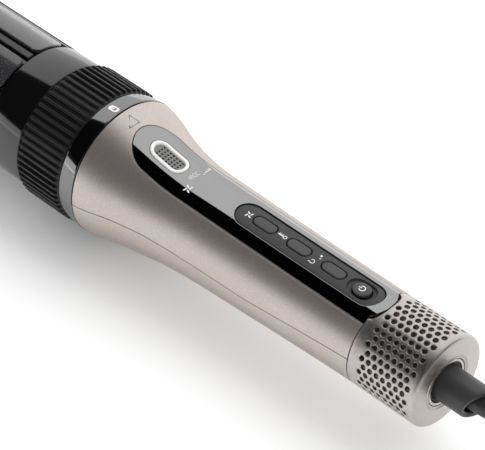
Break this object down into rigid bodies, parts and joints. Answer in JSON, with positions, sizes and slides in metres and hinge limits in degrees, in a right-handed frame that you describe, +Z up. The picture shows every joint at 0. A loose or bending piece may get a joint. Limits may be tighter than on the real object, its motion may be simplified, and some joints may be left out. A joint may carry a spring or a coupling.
{
  "type": "hot air brush",
  "caption": "Hand-held hot air brush with a ribbed locking collar, plated bristle barrel, button panel, perforated rear filter cap and a swivel cord.",
  "frame": {"origin": "centre of the bounding box of the tool without its cord, on the surface that it rests on", "axes": "+X along the tool towards the cord, +Z up with the control panel on top, brush head towards -X"},
  "size_m": [0.5369, 0.1117, 0.071],
  "materials": {
    "taupe_paint": "satin metallic",
    "panel_gloss": "high gloss",
    "band_gloss": "gloss",
    "rib_black": "fine matte",
    "bar_grey": "matte",
    "button_grey": "matte",
    "outlet_white": "satin gloss",
    "grille_grey": "matte",
    "cap_nickel": "satin",
    "filter_steel": "fine woven",
    "barrel_black": "gloss",
    "plate_ceramic": "polished",
    "bristle_nylon": "satin",
    "inner_plastic": "matte",
    "heat_plastic": "matte",
    "mica": "layered",
    "heater_wire": "drawn",
    "steel": "machined",
    "board_green": "lacquered",
    "soft_rubber": "matte",
    "cord_black": "satin",
    "plug_black": "satin",
    "pin_nickel": "plated"
  },
  "bodies": {
    "handle": {"handle_upper_shell": "taupe_paint", "handle_lower_shell": "taupe_paint", "control_panel_lens": "panel_gloss", "button_bar": "bar_grey", "ion_outlet_ring": "outlet_white", "ion_outlet_grille": "grille_grey", "main_board": "board_green", "tact_switches": "steel", "display_module": "inner_plastic", "ion_generator": "inner_plastic", "ion_needle": "steel", "head_spigot": "heat_plastic", "heater_duct": "heat_plastic", "duct_screws": "steel", "heater_frame": "mica", "heater_coil": "heater_wire", "thermal_cutout": "steel", "air_duct": "inner_plastic", "fan_housing": "inner_plastic", "motor_can": "steel", "motor_mounts": "soft_rubber", "filter_carrier": "cap_nickel", "swivel_bush": "inner_plastic", "strain_relief": "cord_black", "power_cord": "cord_black", "plug_lead": "cord_black", "cord_coil": "cord_black", "plug_body": "plug_black", "plug_pins": "pin_nickel"},
    "lock_collar": {"locking_collar": "rib_black", "collar_band": "band_gloss"},
    "head": {"head_barrel": "barrel_black", "head_socket_ring": "heat_plastic", "head_end_cap": "barrel_black", "air_baffle": "heat_plastic", "heat_plate_1": "plate_ceramic", "heat_plate_2": "plate_ceramic", "heat_plate_3": "plate_ceramic", "heat_plate_4": "plate_ceramic", "heat_plate_5": "plate_ceramic", "heat_plate_6": "plate_ceramic", "heat_plate_7": "plate_ceramic", "heat_plate_8": "plate_ceramic", "bristle_strip_1": "bristle_nylon", "bristle_strip_2": "bristle_nylon", "bristle_strip_3": "bristle_nylon", "bristle_strip_4": "bristle_nylon", "bristle_strip_5": "bristle_nylon", "bristle_strip_6": "bristle_nylon", "bristle_strip_7": "bristle_nylon", "bristle_strip_8": "bristle_nylon"},
    "fan_button": {"fan_button": "button_grey"},
    "temperature_button": {"temperature_button": "button_grey"},
    "mode_button": {"mode_button": "button_grey"},
    "power_button": {"power_button": "button_grey"},
    "rotor": {"fan_impeller": "inner_plastic", "motor_shaft": "steel"},
    "rear_filter": {"rear_filter_cap": "cap_nickel", "filter_mesh": "filter_steel"},
    "swivel": {"cord_swivel_sleeve": "cord_black"}
  },
  "joints": [
    {"name": "collar_turn", "type": "hinge", "parent": "handle", "child": "lock_collar", "pos_m": [0, 0, 0.03548], "axis": [1, 0, 0], "range_deg": [0, 30]},
    {"name": "head_pull", "type": "slide", "parent": "handle", "child": "head", "axis": [-1, 0, 0], "range_m": [0, 0.05]},
    {"name": "fan_press", "type": "slide", "parent": "handle", "child": "fan_button", "axis": [0, 0, -1], "range_m": [0, 0.0005], "stiffness_N_per_m": 400, "springref_m": -0.0005},
    {"name": "temperature_press", "type": "slide", "parent": "handle", "child": "temperature_button", "axis": [0, 0, -1], "range_m": [0, 0.0005], "stiffness_N_per_m": 400, "springref_m": -0.0005},
    {"name": "mode_press", "type": "slide", "parent": "handle", "child": "mode_button", "axis": [0, 0, -1], "range_m": [0, 0.0005], "stiffness_N_per_m": 400, "springref_m": -0.0005},
    {"name": "power_press", "type": "slide", "parent": "handle", "child": "power_button", "axis": [0, 0, -1], "range_m": [0, 0.0005], "stiffness_N_per_m": 400, "springref_m": -0.0005},
    {"name": "rotor_spin", "type": "hinge", "parent": "handle", "child": "rotor", "pos_m": [0.1, 0, 0.03248], "axis": [1, 0, 0], "continuous": true},
    {"name": "filter_pull", "type": "slide", "parent": "handle", "child": "rear_filter", "axis": [1, 0, 0], "range_m": [0, 0.03]},
    {"name": "swivel_turn", "type": "hinge", "parent": "handle", "child": "swivel", "pos_m": [0.17, 0, 0.03548], "axis": [1, 0, 0], "continuous": true}
  ]
}
